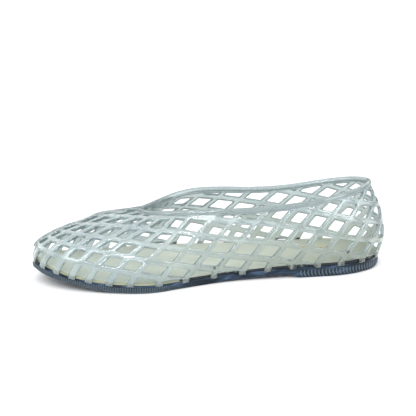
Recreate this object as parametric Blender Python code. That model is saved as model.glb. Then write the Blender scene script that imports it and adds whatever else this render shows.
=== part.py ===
# Lattice jelly flat, right shoe: a clear moulded net upper, a moulded sole with a low heel, a cream insole.
# The toe points to -X, the heel to +X, the shoe's inner side to -Y. It stands on z = 0.
# Tables hold millimetres. "back" is the distance behind the toe tip of the insole.
import math

import bmesh
import bpy
import numpy as np

MM = 0.001

# Driving sizes
LENGTH = 240.0
TOE_RADIUS = 19.0
HEEL_RADIUS = 25.0
THROAT_BACK = 69.0
COLLAR_END_BACK = 233.0
THROAT_RADIUS = 7.5
COLLAR_END_RADIUS = 12.0
HEEL_BREAST_BACK = 172.5
HEEL_BREAST_RUN = 7.0
INSOLE_THICKNESS = 1.5
FIT_GAP = 0.3
SOLE_EDGE_ROUND = 1.2
TOE_REACH = 1.6
TOE_LIP = 1.2
TOE_RUN = 34.0
WALL = 2.6
TAB_WALL = 1.3
TAB_DROP = 2.8
COLLAR_BEAD_RADIUS = 1.8
COLLAR_BAND = 2.0
SPOKE_WIDTH = 5.0
SPOKE_LEAN = 0.57
SPOKE_BEND = 0.0074
ROW_WIDTH = 4.4
ROW_HEIGHTS = (12.4, 23.6, 35.2, 48.0, 61.0, 74.6, 87.5, 100.0, 112.5, 125.0)
ROW_SQUEEZE = 0.06
ROW_SQUEEZE_END = 110.0
ROW_SQUEEZE_RUN = 50.0
ROW_FALL = 0.26
ROW_FALL_START = 63.0
ROW_FALL_BLEND = 50.0

# back, inner half width, outer half width of the insole
WIDTH_ROWS = np.array([
    (25.0, 29.6, 26.0),
    (50.0, 38.0, 36.0),
    (75.0, 40.7, 41.5),
    (95.0, 35.5, 42.0),
    (125.0, 28.3, 38.5),
    (155.0, 27.5, 33.0),
    (185.0, 28.0, 29.3),
    (210.0, 26.9, 27.0),
    (228.0, 19.9, 20.0),
])

# back, height of the insole's top edge
FEATHER_ROWS = np.array([
    (0.0, 16.4),
    (8.0, 14.5),
    (24.0, 11.0),
    (44.0, 8.3),
    (65.0, 7.1),
    (90.0, 6.8),
    (115.0, 6.7),
    (140.0, 7.7),
    (165.0, 9.1),
    (190.0, 9.6),
    (240.0, 10.3),
])

# back, height of the sole's underside
UNDERSIDE_ROWS = np.array([
    (0.0, 10.0),
    (6.0, 8.1),
    (24.0, 4.6),
    (44.0, 1.5),
    (62.0, 0.0),
    (112.0, 0.0),
    (125.0, 0.5),
    (140.0, 1.3),
    (155.0, 2.2),
    (170.0, 2.8),
    (240.0, 3.0),
])

# back along the insole edge, back along the ridge or collar above it
TOP_ROWS = np.array([
    (0.0, 12.0),
    (12.0, 20.0),
    (25.0, 31.5),
    (40.0, 46.0),
    (55.0, 62.0),
    (63.0, 69.5),
    (72.0, 75.0),
    (82.0, 83.0),
    (96.0, 96.0),
    (130.0, 130.0),
    (180.0, 180.0),
    (206.0, 204.5),
    (223.0, 219.0),
    (234.0, 228.5),
    (240.0, 233.0),
])

# back, height of the ridge over the toes
RIDGE_ROWS = np.array([
    (12.0, 33.0),
    (20.0, 36.1),
    (30.0, 39.1),
    (37.0, 41.2),
    (43.0, 43.5),
    (52.0, 44.9),
    (60.0, 45.5),
    (69.0, 45.8),
])

# back, half width of the collar, inner height, outer height, rise of the wall at the collar in degrees
COLLAR_ROWS = np.array([
    (69.0, 0.0, 45.8, 45.8, 0.0),
    (76.0, 10.6, 45.3, 45.5, 12.0),
    (85.0, 16.4, 45.8, 46.8, 24.0),
    (98.0, 22.3, 47.1, 49.2, 40.0),
    (112.0, 25.8, 47.8, 50.4, 54.0),
    (130.0, 27.8, 47.9, 49.8, 66.0),
    (155.0, 28.2, 48.6, 48.3, 74.0),
    (180.0, 27.2, 50.3, 49.2, 74.0),
    (205.0, 23.8, 53.8, 52.9, 71.0),
    (220.0, 17.6, 56.2, 55.9, 66.0),
    (233.0, 0.0, 58.3, 58.3, 60.0),
])

# back, outward lean of the wall at the sole in degrees
LEAN_ROWS = np.array([
    (0.0, 12.0),
    (25.0, 20.0),
    (60.0, 18.0),
    (95.0, 22.0),
    (125.0, 24.0),
    (155.0, 18.0),
    (200.0, 16.0),
    (240.0, 19.0),
])

# distance round the insole edge from the toe tip, number of the net's spoke that stands there
SPOKE_ROWS = np.array([
    (-12.0, -1.5),
    (4.5, 0.0),
    (15.7, 1.0),
    (50.0, 4.0),
    (77.2, 6.0),
    (115.0, 8.0),
    (155.5, 10.0),
    (190.6, 12.0),
    (224.3, 14.0),
    (257.7, 16.0),
    (306.0, 18.0),
])

SPOKES_BEFORE_TOE = 6
SPOKES = 18
STATIONS = 480
SECTION_POINTS = 60
OUTLINE_STEPS = 44
BEAD_STEPS = 5
SETTLE = 0.15


def smooth(rows, column, at):
    """Cubic curve through one column of a table."""
    across = rows[:, 0]
    values = rows[:, column]
    slopes = np.gradient(values, across)
    at = np.clip(at, across[0], across[-1])
    k = np.clip(np.searchsorted(across, at, side="right") - 1, 0, len(across) - 2)
    step = across[k + 1] - across[k]
    t = (at - across[k]) / step
    start = (2 * t**3 - 3 * t**2 + 1) * values[k] + (t**3 - 2 * t**2 + t) * step * slopes[k]
    end = (3 * t**2 - 2 * t**3) * values[k + 1] + (t**3 - t**2) * step * slopes[k + 1]
    return start + end


def rounded(rows, column, at, first, last, first_radius, last_radius):
    """Half width that closes with a round end at first and at last."""
    span = last - first

    def turn(value):
        return np.arccos(np.clip(1 - 2 * (value - first) / span, -1, 1)) / np.pi

    def end_shape(value):
        return np.sin(np.pi * turn(value))

    inside = rows[(rows[:, 0] > first) & (rows[:, 0] < last)]
    fullness = np.column_stack([
        np.concatenate([[0.0], turn(inside[:, 0]), [1.0]]),
        np.concatenate([
            [math.sqrt(first_radius * span / 2)],
            inside[:, column] / end_shape(inside[:, 0]),
            [math.sqrt(last_radius * span / 2)],
        ]),
    ])
    return smooth(fullness, 1, turn(at)) * end_shape(at)


def insole_width(side, back):
    """Half width of the insole, on side 0 the inner one and on side 1 the outer one."""
    return rounded(WIDTH_ROWS, 1 + side, back, 0.0, LENGTH, TOE_RADIUS, HEEL_RADIUS)


def side_line(side, steps):
    """Points and outward directions along one side of the insole, from toe tip to heel."""
    back = LENGTH * (1 - np.cos(np.linspace(0, np.pi, steps + 1))) / 2
    sign = -1.0 if side == 0 else 1.0
    points = np.column_stack([back, sign * insole_width(side, back)])
    along = np.gradient(points, axis=0)
    along[0] = (0.0, sign)
    along[-1] = (0.0, -sign)
    along /= np.linalg.norm(along, axis=1)[:, None]
    outward = np.column_stack([along[:, 1], -along[:, 0]]) * -sign
    return points, outward


def underside(back):
    """Height of the sole's underside: toe spring, flat tread, waist and heel."""
    step = np.clip((back - HEEL_BREAST_BACK) / HEEL_BREAST_RUN + 0.5, 0, 1)
    return np.maximum(smooth(UNDERSIDE_ROWS, 1, back), 0.0) * (1 - step)


def toe_share(back):
    """Share of the toe's extra width, full at the toe tip and gone behind the toes."""
    return np.clip(1 - back / TOE_RUN, 0, 1) ** 2


def wall_grid(side, top_back=None):
    """Outer surface of one side of the upper: rows of points from the sole edge to the ridge or collar."""
    fine, outward = side_line(side, 4 * STATIONS)
    travel = np.concatenate([[0.0], np.cumsum(np.linalg.norm(np.diff(fine, axis=0), axis=1))])
    even = np.linspace(0, travel[-1], STATIONS + 1)
    plan = np.column_stack([np.interp(even, travel, fine[:, k]) for k in (0, 1)])
    out = np.column_stack([np.interp(even, travel, outward[:, k]) for k in (0, 1)])
    out /= np.linalg.norm(out, axis=1)[:, None]
    back = plan[:, 0]
    sign = -1.0 if side == 0 else 1.0

    beyond = FIT_GAP + TAB_WALL + TOE_REACH * toe_share(back)
    low = np.column_stack([plan + out * beyond[:, None], smooth(FEATHER_ROWS, 1, back)])
    if top_back is None:
        top_back = smooth(TOP_ROWS, 1, back)
    on_ridge = top_back <= THROAT_BACK
    width = rounded(
        COLLAR_ROWS, 1, np.clip(top_back, THROAT_BACK, COLLAR_END_BACK), THROAT_BACK, COLLAR_END_BACK,
        THROAT_RADIUS, COLLAR_END_RADIUS)
    height = np.where(on_ridge, smooth(RIDGE_ROWS, 1, top_back), smooth(COLLAR_ROWS, 2 + side, top_back))
    high = np.column_stack([top_back, sign * np.where(on_ridge, 0.0, width), height])

    lean = np.radians(smooth(LEAN_ROWS, 1, back))[:, None]
    up = np.array([0.0, 0.0, 1.0])
    flat_out = np.column_stack([out, np.zeros(len(out))])
    start = flat_out * np.sin(lean) + up * np.cos(lean)
    ridge_slope = np.gradient(height, top_back) * on_ridge
    over = np.column_stack([-out[:, 0], -out[:, 1], -out[:, 0] * ridge_slope])
    rise = np.radians(np.where(on_ridge, 0.0, smooth(COLLAR_ROWS, 4, top_back)))[:, None]
    end = over * np.cos(rise) + up * np.sin(rise)

    chord = np.linalg.norm(high - low, axis=1)[:, None]
    pull = chord * (1.02 + 0.2 * np.cos(rise))
    t = np.linspace(0, 1, 4 * SECTION_POINTS)[:, None, None]
    curve = ((2 * t**3 - 3 * t**2 + 1) * low + (t**3 - 2 * t**2 + t) * pull * start
             + (3 * t**2 - 2 * t**3) * high + (t**3 - t**2) * pull * end)
    steps = np.linalg.norm(np.diff(curve, axis=0), axis=2)
    length = np.vstack([np.zeros(len(back)), np.cumsum(steps, axis=0)])
    share = np.linspace(0, 1, SECTION_POINTS + 1)
    grid = np.empty((STATIONS + 1, SECTION_POINTS + 1, 3))
    for k in range(STATIONS + 1):
        for axis in range(3):
            grid[k, :, axis] = np.interp(share * length[-1, k], length[:, k], curve[:, k, axis])
    return grid, length[-1], travel[-1], top_back


INNER_GRID, INNER_GIRTH, INNER_ROUND, TOP_BACK = wall_grid(0)
OUTER_GRID, OUTER_GIRTH, _, _ = wall_grid(1, TOP_BACK)
GRIDS = (INNER_GRID, OUTER_GRID)
ROUND = INNER_ROUND
GIRTH = (INNER_GIRTH + OUTER_GIRTH) / 2
STATION_AT = np.linspace(0, ROUND, STATIONS + 1)
THROAT_STATION = int(np.nonzero(TOP_BACK <= THROAT_BACK)[0][-1])
THROAT_AT = float(STATION_AT[THROAT_STATION])
COLLAR_LINE = INNER_GRID[THROAT_STATION:, -1]


def wall_point(side, around, rise):
    """Point of the upper's outer surface, rise being the girth above the sole edge."""
    grid = GRIDS[side]
    share = rise / np.interp(around, STATION_AT, GIRTH)
    column = np.clip(around / ROUND * STATIONS, 0, STATIONS - 1e-6)
    row = np.clip(share * SECTION_POINTS, 0, SECTION_POINTS - 1e-6)
    i = int(column)
    j = int(row)
    u = column - i
    v = row - j
    point = ((grid[i, j] * (1 - u) + grid[i + 1, j] * u) * (1 - v)
             + (grid[i, j + 1] * (1 - u) + grid[i + 1, j + 1] * u) * v)
    return point + np.array([0.0, 0.0, min(rise, 0.0)])


def row_fall(around):
    """How far a row of the net has come down toward the sole on its way to the heel."""
    run = around - ROW_FALL_START
    blend = min(max(run / ROW_FALL_BLEND + 0.5, 0.0), 1.0)
    return ROW_FALL * max(run, blend**2 * ROW_FALL_BLEND / 2)


def row_squeeze(around):
    """Closer spacing of the rows over the toes."""
    return 1 - ROW_SQUEEZE * min(max((ROW_SQUEEZE_END - around) / ROW_SQUEEZE_RUN, 0.0), 1.0)


def net_to_wall(foot, row):
    """Place on the wall of a net point, from the foot of its spoke and the height of its row at the toe."""
    rise = row
    for _ in range(40):
        up = max(rise, 0.0)
        around = foot + SPOKE_LEAN * up + SPOKE_BEND * up**2
        rise = row * row_squeeze(around) - row_fall(around)
    return around, rise


def inside_toe(around, rise):
    return around


def inside_heel(around, rise):
    return ROUND - around


def inside_top(around, rise):
    return float(np.interp(around, STATION_AT, GIRTH)) - rise


def inside_tab(around, rise):
    return rise + TAB_DROP


def before_throat(around, rise):
    return THROAT_AT - around


def behind_throat(around, rise):
    return around - THROAT_AT


def above_sole(around, rise):
    return rise


def below_sole(around, rise):
    return -rise


def off_collar(around, rise):
    point = wall_point(0, around, rise)
    return float(np.sqrt(((COLLAR_LINE - point) ** 2).sum(axis=1).min())) - COLLAR_BAND


def on_collar(around, rise):
    return -off_collar(around, rise)


def clip(polygon, rule):
    """Part of a convex net polygon where the rule is not negative."""
    values = [rule(*net_to_wall(*point)) for point in polygon]
    if min(values) >= 0:
        return polygon
    if max(values) < 0:
        return []
    kept = []
    for k, here in enumerate(polygon):
        there = polygon[(k + 1) % len(polygon)]
        value_here = values[k]
        value_there = values[(k + 1) % len(polygon)]
        if value_here >= 0:
            kept.append(here)
        if (value_here >= 0) == (value_there >= 0):
            continue
        good, bad = (here, there) if value_here >= 0 else (there, here)
        for _ in range(30):
            middle = ((good[0] + bad[0]) / 2, (good[1] + bad[1]) / 2)
            if rule(*net_to_wall(*middle)) >= 0:
                good = middle
            else:
                bad = middle
        kept.append(good)
    return kept


def settle(around, rise):
    """Moves a net point that all but touches an edge of the wall onto that edge."""
    if around < SETTLE:
        around = 0.0
    if around > ROUND - SETTLE:
        around = ROUND
    if abs(rise) < SETTLE:
        rise = 0.0
    if inside_top(around, rise) < SETTLE:
        rise = float(np.interp(around, STATION_AT, GIRTH))
    return around, rise


def net_polygons():
    """Spokes, rows and collar band of the net as small polygons on the wall."""
    numbers = np.arange(-SPOKES_BEFORE_TOE, SPOKES + 1)
    first_gap = (SPOKE_ROWS[1, 0] - SPOKE_ROWS[0, 0]) / (SPOKE_ROWS[1, 1] - SPOKE_ROWS[0, 1])
    feet = np.where(numbers < 0, SPOKE_ROWS[1, 0] + numbers * first_gap,
                    np.interp(numbers, SPOKE_ROWS[:, 1], SPOKE_ROWS[:, 0]))
    half_spoke = SPOKE_WIDTH / 2
    half_row = ROW_WIDTH / 2
    spoke_lines = []
    for foot, following in zip(feet[:-1], feet[1:]):
        spoke_lines.append((foot - half_spoke, True))
        spoke_lines.append((foot + half_spoke, False))
        spoke_lines.append(((foot + following) / 2, False))
    row_lines = [(-TAB_DROP - 60.0, False)]
    for height, following in zip(ROW_HEIGHTS[:-1], ROW_HEIGHTS[1:]):
        row_lines.append((height - half_row, True))
        row_lines.append((height + half_row, False))
        row_lines.append(((height + following) / 2, False))
    kept = []
    for (left, is_spoke), (right, _) in zip(spoke_lines[:-1], spoke_lines[1:]):
        for (bottom, is_row), (top, _) in zip(row_lines[:-1], row_lines[1:]):
            whole = [(left, bottom), (right, bottom), (right, top), (left, top)]
            for end in (before_throat, behind_throat):
                part = whole
                for rule in (end, inside_toe, inside_heel, inside_top, inside_tab):
                    part = clip(part, rule) if part else []
                if not part:
                    continue
                upper_part = clip(part, above_sole)
                if upper_part and (is_spoke or is_row):
                    kept.append(clip(upper_part, off_collar))
                if upper_part:
                    kept.append(clip(upper_part, on_collar))
                if is_spoke:
                    kept.append(clip(part, below_sole))
    return [[settle(*net_to_wall(*point)) for point in polygon] for polygon in kept if len(polygon) > 2]


def add_object(name, bm, colour, roughness, transmission):
    """Object of one sub-part with its own material, from a mesh in millimetres."""
    mesh = bpy.data.meshes.new(name)
    bmesh.ops.recalc_face_normals(bm, faces=bm.faces)
    bmesh.ops.scale(bm, vec=(MM, MM, MM), verts=bm.verts)
    bm.to_mesh(mesh)
    bm.free()
    material = bpy.data.materials.new(name)
    material.use_nodes = True
    shader = material.node_tree.nodes["Principled BSDF"]
    shader.inputs["Base Color"].default_value = (*colour, 1.0)
    shader.inputs["Roughness"].default_value = roughness
    shader.inputs["Transmission Weight"].default_value = transmission
    mesh.materials.append(material)
    thing = bpy.data.objects.new(name, mesh)
    bpy.context.scene.collection.objects.link(thing)
    return thing


def collar_loop(bm, top_layer):
    """Vertices of the collar in order, on the outer sheet of the upper."""
    edges = [e for e in bm.edges if e.is_boundary and e.verts[0][top_layer] and e.verts[1][top_layer]]
    follow = {}
    for edge in edges:
        for here, there in (edge.verts, reversed(edge.verts)):
            follow.setdefault(here, []).append(there)
    start = edges[0].verts[0]
    loop = [start]
    previous = None
    here = start
    while True:
        onward = [v for v in follow[here] if v is not previous]
        previous, here = here, onward[0]
        if here is start:
            return loop
        loop.append(here)


def make_upper():
    """Net upper: outer sheet, inner sheet, window walls and a round bead along the collar."""
    bm = bmesh.new()
    rise_layer = bm.verts.layers.float.new("rise")
    top_layer = bm.verts.layers.int.new("top")
    for polygon in net_polygons():
        for side in (0, 1):
            corners = []
            for around, rise in polygon:
                vert = bm.verts.new(wall_point(side, around, rise))
                vert[rise_layer] = rise
                vert[top_layer] = int(inside_top(around, rise) < 1e-3)
                corners.append(vert)
            bm.faces.new(corners if side == 0 else corners[::-1])
    bmesh.ops.remove_doubles(bm, verts=bm.verts, dist=0.1)
    bmesh.ops.dissolve_degenerate(bm, edges=bm.edges, dist=0.02)
    bmesh.ops.delete(bm, geom=[v for v in bm.verts if not v.link_faces])
    bm.normal_update()
    inward = [f for f in bm.faces if f.calc_center_median().y < -20 and f.normal.y > 0.5]
    if len(inward) > 20:
        bmesh.ops.reverse_faces(bm, faces=bm.faces)
        bm.normal_update()

    loop = collar_loop(bm, top_layer)
    outer_faces = list(bm.faces)
    edge_pairs = [tuple(e.verts) for e in bm.edges if e.is_boundary]
    collar = set(loop)
    inner = {}
    for vert in list(bm.verts):
        wall = TAB_WALL + (WALL - TAB_WALL) * min(max(vert[rise_layer] / 4.0, 0.0), 1.0)
        inner[vert] = bm.verts.new(vert.co - vert.normal * wall)
    for face in outer_faces:
        bm.faces.new([inner[v] for v in reversed(face.verts)])
    for first, second in edge_pairs:
        if not (first in collar and second in collar):
            bm.faces.new((first, second, inner[second], inner[first]))

    arcs = []
    lift = math.sqrt(COLLAR_BEAD_RADIUS**2 - (WALL / 2) ** 2)
    start_angle = math.atan2(-lift, WALL / 2)
    sweep = math.pi - 2 * start_angle
    count = len(loop)
    for k, vert in enumerate(loop):
        along = (loop[(k + 1) % count].co - loop[k - 1].co).normalized()
        off_edge = vert.normal.cross(along).normalized()
        if off_edge.dot(vert.link_faces[0].calc_center_median() - vert.co) > 0:
            off_edge.negate()
        centre = (vert.co + inner[vert].co) / 2 + off_edge * lift
        out = (vert.co - inner[vert].co).normalized()
        arc = [vert]
        for step in range(1, BEAD_STEPS + 1):
            angle = start_angle + sweep * step / (BEAD_STEPS + 1)
            offset = out * math.cos(angle) + off_edge * math.sin(angle)
            arc.append(bm.verts.new(centre + offset * COLLAR_BEAD_RADIUS))
        arc.append(inner[vert])
        arcs.append(arc)
    for arc, following in zip(arcs, arcs[1:] + arcs[:1]):
        for k in range(BEAD_STEPS + 1):
            bm.faces.new((arc[k], following[k], following[k + 1], arc[k + 1]))
    bmesh.ops.triangulate(bm, faces=bm.faces)
    return add_object("upper", bm, (0.62, 0.72, 0.70), 0.12, 0.6)


def layered_sole(layers):
    """Closed solid from rings round the insole outline, each with functions for its outset and height."""
    bm = bmesh.new()
    inner, inner_out = side_line(0, OUTLINE_STEPS)
    outer, outer_out = side_line(1, OUTLINE_STEPS)
    points = np.vstack([inner, outer[-2:0:-1]])
    outward = np.vstack([inner_out, outer_out[-2:0:-1]])
    rings = []
    for outset, height in layers:
        beyond = outset(points[:, 0])[:, None]
        places = np.column_stack([points + outward * beyond, height(points[:, 0])])
        rings.append([bm.verts.new(place) for place in places])
    count = len(points)
    for ring, above in zip(rings[:-1], rings[1:]):
        for k in range(count):
            bm.faces.new((ring[k], ring[(k + 1) % count], above[(k + 1) % count], above[k]))
    for ring in (rings[0], rings[-1]):
        for k in range(OUTLINE_STEPS):
            corners = [ring[k], ring[k + 1], ring[(count - k - 1) % count], ring[(count - k) % count]]
            distinct = list(dict.fromkeys(corners))
            bm.faces.new(distinct)
    bmesh.ops.triangulate(bm, faces=bm.faces)
    return bm


def feather(back):
    return smooth(FEATHER_ROWS, 1, back)


def flush(back):
    return np.zeros(len(back))


def make_outsole():
    """Sole with toe spring, waist and low heel, rounded below, its toe standing out under the tabs."""
    def top(back):
        return feather(back) - INSOLE_THICKNESS - FIT_GAP

    def below_tabs(back):
        return feather(back) - TAB_DROP - FIT_GAP

    def lip_top(back):
        return below_tabs(back) - FIT_GAP

    def edge(back):
        return underside(back) + SOLE_EDGE_ROUND

    def reach(back):
        return TOE_REACH * toe_share(back)

    def lip(back):
        return (TOE_REACH + TOE_LIP) * toe_share(back)

    def tread(back):
        return lip(back) - SOLE_EDGE_ROUND

    bm = layered_sole([(tread, underside), (lip, edge), (lip, lip_top), (reach, below_tabs), (reach, top)])
    return add_object("outsole", bm, (0.09, 0.12, 0.17), 0.25, 0.2)


def make_insole():
    """Flat cream footbed that lies on the sole inside the net."""
    def low(back):
        return feather(back) - INSOLE_THICKNESS

    bm = layered_sole([(flush, low), (flush, feather)])
    return add_object("insole", bm, (0.72, 0.68, 0.50), 0.6, 0.0)


for old in list(bpy.data.objects):
    bpy.data.objects.remove(old)
pieces = [make_outsole(), make_insole(), make_upper()]
corners = np.array([v.co[:] for piece in pieces for v in piece.data.vertices])
middle = (corners.min(axis=0) + corners.max(axis=0)) / 2
for piece in pieces:
    for vert in piece.data.vertices:
        vert.co.x -= middle[0]
        vert.co.y -= middle[1]
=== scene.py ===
import math

import bmesh
import bpy
import numpy as np
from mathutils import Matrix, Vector


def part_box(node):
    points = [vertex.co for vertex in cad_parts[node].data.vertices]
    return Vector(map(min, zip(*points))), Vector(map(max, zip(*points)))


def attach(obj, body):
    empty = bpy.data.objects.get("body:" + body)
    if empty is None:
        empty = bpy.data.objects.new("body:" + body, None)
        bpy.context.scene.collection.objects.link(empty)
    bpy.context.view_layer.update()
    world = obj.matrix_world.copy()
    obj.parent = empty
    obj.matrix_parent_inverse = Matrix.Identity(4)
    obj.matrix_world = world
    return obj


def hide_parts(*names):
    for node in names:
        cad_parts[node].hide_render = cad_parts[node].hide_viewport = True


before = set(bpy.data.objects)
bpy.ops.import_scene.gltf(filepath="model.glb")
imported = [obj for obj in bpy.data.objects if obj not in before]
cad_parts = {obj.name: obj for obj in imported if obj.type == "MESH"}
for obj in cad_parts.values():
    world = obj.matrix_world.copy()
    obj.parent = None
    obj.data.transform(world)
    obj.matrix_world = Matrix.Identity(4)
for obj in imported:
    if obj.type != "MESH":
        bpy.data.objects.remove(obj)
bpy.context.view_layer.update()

# Outsole: one moulding of dark slate-blue soft plastic with toe spring, a thin waist and a low heel.
# It comes glossy from the mould, and the insole and the net's tabs are bonded to it.
# Sizes are in millimetres, and "back" is the distance behind the toe tip of the insole.
MM = 0.001
LENGTH = 240.0
TOE_RADIUS = 19.0
HEEL_RADIUS = 25.0
HEEL_BREAST_BACK = 172.5
HEEL_BREAST_RUN = 7.0
INSOLE_THICKNESS = 1.5
FIT_GAP = 0.3
TOE_REACH = 1.6
TOE_LIP = 0.5
TOE_RUN = 34.0
TAB_DROP = 2.8
SOLE_STEPS = 150
WIDTH_SAMPLES = 2001
MIDDLE_INSET = 6.0
SOLE_EDGE_ROUND = 1.2
SOLE_DARK = (0.004, 0.009, 0.016, 1.0)
SOLE_BLUE = (0.018, 0.034, 0.060, 1.0)
# light blue colour of the streaks of painted sheen, a painted reflection in the base colour
SOLE_PAINTED_SHEEN = (0.085, 0.130, 0.215, 1.0)
# lighter colour of the raised beads and ribs, a painted highlight
SOLE_RAISED_HIGHLIGHT = (0.095, 0.125, 0.150, 1.0)
SHEEN_STREAKS_PER_METRE = (55.0, 55.0, 300.0)
NOISE_LOW = 0.3
NOISE_HIGH = 0.7

# inset and rise of the rings that round the sole's lower edge
LOWER_EDGE = ((SOLE_EDGE_ROUND, 0.0), (0.45, 0.2), (0.1, 0.65), (0.0, SOLE_EDGE_ROUND))

# inset and drop of the rings that round the ledge below the tabs, and of those that round the top edge
LEDGE_EDGE = ((0.0, 0.9), (0.1, 0.45))
TOP_EDGE = ((0.0, 0.6), (0.15, 0.15), (0.6, 0.0))

# back, inner half width, outer half width of the insole
WIDTH_ROWS = np.array([
    (25.0, 29.6, 26.0),
    (50.0, 38.0, 36.0),
    (75.0, 40.7, 41.5),
    (95.0, 35.5, 42.0),
    (125.0, 28.3, 38.5),
    (155.0, 27.5, 33.0),
    (185.0, 28.0, 29.3),
    (210.0, 26.9, 27.0),
    (228.0, 19.9, 20.0),
])

# back, height of the insole's top edge
FEATHER_ROWS = np.array([
    (0.0, 16.4),
    (8.0, 14.5),
    (24.0, 11.0),
    (44.0, 8.3),
    (65.0, 7.1),
    (90.0, 6.8),
    (115.0, 6.7),
    (140.0, 7.7),
    (165.0, 9.1),
    (190.0, 9.6),
    (240.0, 10.3),
])

# back, height of the sole's underside
UNDERSIDE_ROWS = np.array([
    (0.0, 10.0),
    (6.0, 8.1),
    (24.0, 4.6),
    (44.0, 1.5),
    (62.0, 0.0),
    (112.0, 0.0),
    (125.0, 0.5),
    (140.0, 1.3),
    (155.0, 2.2),
    (170.0, 2.8),
    (240.0, 3.0),
])


def smooth(rows, column, at):
    """Cubic curve through one column of a table."""
    across = rows[:, 0]
    values = rows[:, column]
    slopes = np.gradient(values, across)
    at = np.clip(at, across[0], across[-1])
    k = np.clip(np.searchsorted(across, at, side="right") - 1, 0, len(across) - 2)
    step = across[k + 1] - across[k]
    t = (at - across[k]) / step
    start = (2 * t**3 - 3 * t**2 + 1) * values[k] + (t**3 - 2 * t**2 + t) * step * slopes[k]
    end = (3 * t**2 - 2 * t**3) * values[k + 1] + (t**3 - t**2) * step * slopes[k + 1]
    return start + end


def rounded(rows, column, at, first, last, first_radius, last_radius):
    """Half width that closes with a round end at first and at last."""
    span = last - first

    def turn(value):
        return np.arccos(np.clip(1 - 2 * (value - first) / span, -1, 1)) / np.pi

    def end_shape(value):
        return np.sin(np.pi * turn(value))

    inside = rows[(rows[:, 0] > first) & (rows[:, 0] < last)]
    fullness = np.column_stack([
        np.concatenate([[0.0], turn(inside[:, 0]), [1.0]]),
        np.concatenate([
            [math.sqrt(first_radius * span / 2)],
            inside[:, column] / end_shape(inside[:, 0]),
            [math.sqrt(last_radius * span / 2)],
        ]),
    ])
    return smooth(fullness, 1, turn(at)) * end_shape(at)


def insole_width(side, back):
    """Half width of the insole, on side 0 the inner one and on side 1 the outer one."""
    return rounded(WIDTH_ROWS, 1 + side, back, 0.0, LENGTH, TOE_RADIUS, HEEL_RADIUS)


def side_line(side, steps):
    """Points and outward directions along one side of the insole, from toe tip to heel."""
    back = LENGTH * (1 - np.cos(np.linspace(0, np.pi, steps + 1))) / 2
    sign = -1.0 if side == 0 else 1.0
    points = np.column_stack([back, sign * insole_width(side, back)])
    along = np.gradient(points, axis=0)
    along[0] = (0.0, sign)
    along[-1] = (0.0, -sign)
    along /= np.linalg.norm(along, axis=1)[:, None]
    outward = np.column_stack([along[:, 1], -along[:, 0]]) * -sign
    return points, outward


def feather(back):
    return smooth(FEATHER_ROWS, 1, back)


def sole_top(back):
    return feather(back) - INSOLE_THICKNESS - FIT_GAP


def underside(back):
    """Height of the sole's underside: toe spring, flat tread, waist and heel."""
    step = np.clip((back - HEEL_BREAST_BACK) / HEEL_BREAST_RUN + 0.5, 0, 1)
    return np.maximum(smooth(UNDERSIDE_ROWS, 1, back), 0.0) * (1 - step)


# The frame holds the shoe centred on its own box, so its toe tip and middle line are read from the insole.
insole_low, insole_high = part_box("insole")
toe_tip = np.array([
    insole_low.x / MM,
    insole_high.y / MM - insole_width(1, np.linspace(0, LENGTH, WIDTH_SAMPLES)).max(),
    0.0,
])


def in_frame(points):
    """Points in metres in the frame, from millimetres behind the toe tip."""
    return (np.asarray(points) + toe_tip) * MM


def toe_share(back):
    """Share of the toe's extra reach, full at the tip and gone behind the toes."""
    return np.clip(1 - back / TOE_RUN, 0, 1) ** 2


def reach(back):
    """How far the sole and the net's tabs stand out round the toe."""
    return TOE_REACH * toe_share(back)


def lip(back):
    """How far the sole stands out below the tabs."""
    return (TOE_REACH + TOE_LIP) * toe_share(back)


def below_tabs(back):
    return feather(back) - TAB_DROP - FIT_GAP


def shifted(rule, distance):
    """The same function of the place back, moved by a distance."""
    return lambda back: rule(back) + distance


def layered_sole(layers, steps):
    """Closed mesh from rings round the insole outline, each with functions for its outset and height."""
    bm = bmesh.new()
    inner, inner_out = side_line(0, steps)
    outer, outer_out = side_line(1, steps)
    points = np.vstack([inner, outer[-2:0:-1]])
    outward = np.vstack([inner_out, outer_out[-2:0:-1]])
    rings = []
    for outset, height in layers:
        beyond = outset(points[:, 0])[:, None]
        places = np.column_stack([points + outward * beyond, height(points[:, 0])])
        rings.append([bm.verts.new(place) for place in in_frame(places)])
    count = len(points)
    for ring, above in zip(rings[:-1], rings[1:]):
        for k in range(count):
            bm.faces.new((ring[k], ring[(k + 1) % count], above[(k + 1) % count], above[k]))
    for ring in (rings[0], rings[-1]):
        for k in range(steps):
            corners = [ring[k], ring[k + 1], ring[(count - k - 1) % count], ring[(count - k) % count]]
            bm.faces.new(list(dict.fromkeys(corners)))
    bmesh.ops.recalc_face_normals(bm, faces=bm.faces)
    return bm


def add_object(name, data):
    """Object with that data, linked to the scene."""
    thing = bpy.data.objects.new(name, data)
    bpy.context.scene.collection.objects.link(thing)
    return thing


def add_piece(name, bm, material):
    """Object of one piece, smooth shaded, from a mesh in metres."""
    mesh = bpy.data.meshes.new(name)
    bm.to_mesh(mesh)
    bm.free()
    mesh.materials.append(material)
    mesh.shade_smooth()
    return add_object(name, mesh)


def add_node(tree, kind, inputs=None, **settings):
    """Node of that kind with its settings, its inputs being values, sockets to link or lists of sockets."""
    node = tree.nodes.new(kind)
    for name, value in settings.items():
        setattr(node, name, value)
    for name, value in (inputs or {}).items():
        for source in value if isinstance(value, list) else [value]:
            if isinstance(source, bpy.types.NodeSocket):
                tree.links.new(source, node.inputs[name])
            else:
                node.inputs[name].default_value = source
    return node


def new_material(name, inputs):
    """Material with the constant inputs set on its shader, and the object coordinates for its patterns."""
    material = bpy.data.materials.new(name)
    material.use_nodes = True
    tree = material.node_tree
    shader = tree.nodes["Principled BSDF"]
    for socket, value in inputs.items():
        shader.inputs[socket].default_value = value
    return material, tree, shader, add_node(tree, "ShaderNodeTexCoord").outputs["Object"]


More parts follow.
